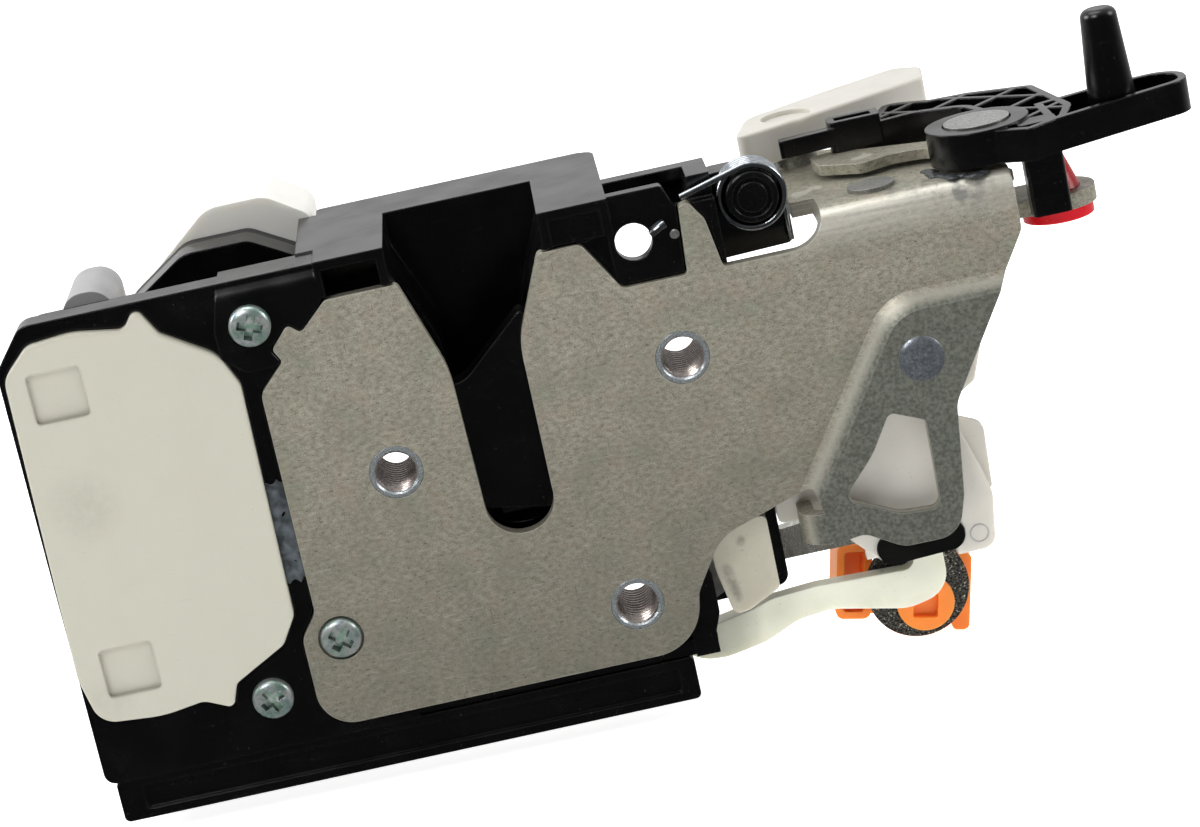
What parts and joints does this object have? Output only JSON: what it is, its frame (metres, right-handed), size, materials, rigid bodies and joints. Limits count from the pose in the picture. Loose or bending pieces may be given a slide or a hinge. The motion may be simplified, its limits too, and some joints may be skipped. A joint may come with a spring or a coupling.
{
  "type": "vehicle door latch actuator",
  "caption": "Side door latch with a slotted steel face plate, claw and pawl behind it, a motor lock drive and the handle and lock levers.",
  "frame": {"origin": "centre of the rounded end of the striker slot, on the outer face of the face plate", "axes": "+X along the face plate towards the levers, -Y the outward normal of the face plate, +Z out of the striker mouth"},
  "size_m": [0.1982, 0.0609, 0.1015],
  "materials": {
    "plate_steel": "zinc plated, worn and scratched",
    "inner_steel": "plain pressed steel",
    "rivet_steel": "turned, zinc plated",
    "screw_zinc": "zinc plated with a passivated tint",
    "spring_steel": "bright drawn wire",
    "black_plastic": "moulded, slightly glossy",
    "cream_plastic": "moulded, satin",
    "white_plastic": "moulded, satin",
    "grey_plastic": "moulded, satin",
    "white_nylon": "moulded nylon",
    "pale_nylon": "moulded nylon, slightly green",
    "clear_nylon": "translucent moulded nylon",
    "red_plastic": "moulded",
    "orange_plastic": "moulded",
    "black_rubber": "moulded, matt",
    "felt": "pressed felt, speckled",
    "board": "coated board",
    "bronze": "tinned blades",
    "motor_can": "drawn can"
  },
  "bodies": {
    "case": {"face_plate": "plate_steel", "claw_bush": "rivet_steel", "pawl_bush": "rivet_steel", "spacer_bush": "rivet_steel", "back_plate": "inner_steel", "latch_housing": "black_plastic", "striker_bumper": "black_rubber", "lower_rail": "black_plastic", "actuator_cover": "cream_plastic", "case_screws": "screw_zinc", "case_gasket": "black_rubber", "rear_case": "white_plastic", "circuit_board": "board", "connector_shroud": "grey_plastic", "connector_pins": "bronze", "lock_motor": "motor_can", "wheel_axle": "inner_steel", "outside_lever_rivet": "rivet_steel", "release_lever_rivet": "rivet_steel", "lock_lever_pin": "rivet_steel", "bellcrank_stud": "rivet_steel", "lever_guide": "white_nylon", "return_spring": "spring_steel", "spring_stud": "black_plastic", "claw_spring": "spring_steel", "pawl_spring": "spring_steel"},
    "worm": {"motor_worm": "inner_steel"},
    "wheel": {"worm_wheel": "white_nylon"},
    "claw_body": {"claw": "inner_steel", "claw_cover": "black_plastic"},
    "pawl_body": {"pawl": "inner_steel", "pawl_tail": "clear_nylon"},
    "outside": {"outside_lever": "black_plastic", "outside_lever_core": "plate_steel"},
    "release": {"release_lever": "plate_steel", "rod_bushing": "red_plastic"},
    "lock_arm": {"lock_lever": "white_nylon"},
    "crank": {"lock_bellcrank": "white_nylon", "bellcrank_sleeve": "black_rubber"},
    "link": {"lock_link": "pale_nylon"},
    "inside": {"inside_lever": "plate_steel", "felt_washer": "felt", "rod_clip": "orange_plastic", "clip_keeper": "orange_plastic"}
  },
  "joints": [
    {"name": "claw_turn", "type": "hinge", "parent": "case", "child": "claw_body", "pos_m": [-0.0185, 0.0055, 0.0091], "axis": [0, 1, 0], "range_deg": [0, 79.5]},
    {"name": "pawl_turn", "type": "hinge", "parent": "case", "child": "pawl_body", "pos_m": [0.0152, 0.0055, -0.0218], "axis": [0, -1, 0], "range_deg": [-9, 1.5]},
    {"name": "outside_lever_turn", "type": "hinge", "parent": "case", "child": "outside", "pos_m": [0.0856, 0.0105, 0.04], "axis": [0, 0, 1], "range_deg": [0, 16]},
    {"name": "release_lever_turn", "type": "hinge", "parent": "case", "child": "release", "pos_m": [0.0666, 0.0088, 0.0275], "axis": [0, 0, 1], "range_deg": [0, 5.76]},
    {"name": "lock_lever_turn", "type": "hinge", "parent": "case", "child": "lock_arm", "pos_m": [0.0574, 0.0382, 0.042], "axis": [0, 0, 1], "range_deg": [0, 25]},
    {"name": "motor_spin", "type": "hinge", "parent": "case", "child": "worm", "pos_m": [-0.0575, 0.023, 0], "axis": [0, 0, 1], "range_deg": [0, 1368]},
    {"name": "worm_wheel_turn", "type": "hinge", "parent": "case", "child": "wheel", "pos_m": [-0.042, 0.023, -0.006], "axis": [0, -1, 0], "range_deg": [0, 57]},
    {"name": "lock_link_slide", "type": "slide", "parent": "case", "child": "link", "axis": [1, 0, 0], "range_m": [0, 0.00668]},
    {"name": "bellcrank_turn", "type": "hinge", "parent": "case", "child": "crank", "pos_m": [0.0685, 0.005, 0.0096], "axis": [0, -1, 0], "range_deg": [0, 11.7]},
    {"name": "inside_lever_turn", "type": "hinge", "parent": "case", "child": "inside", "pos_m": [0.0685, 0.0145, 0.0096], "axis": [0, 1, 0], "range_deg": [0, 10]}
  ],
  "couplings": [
    {"joint": "motor_spin", "follows": "worm_wheel_turn", "ratio": 24},
    {"joint": "bellcrank_turn", "follows": "worm_wheel_turn", "ratio": 0.20526},
    {"joint": "lock_link_slide", "follows": "worm_wheel_turn", "m_per_rad": 0.0067149},
    {"joint": "release_lever_turn", "follows": "outside_lever_turn", "ratio": 0.36}
  ]
}
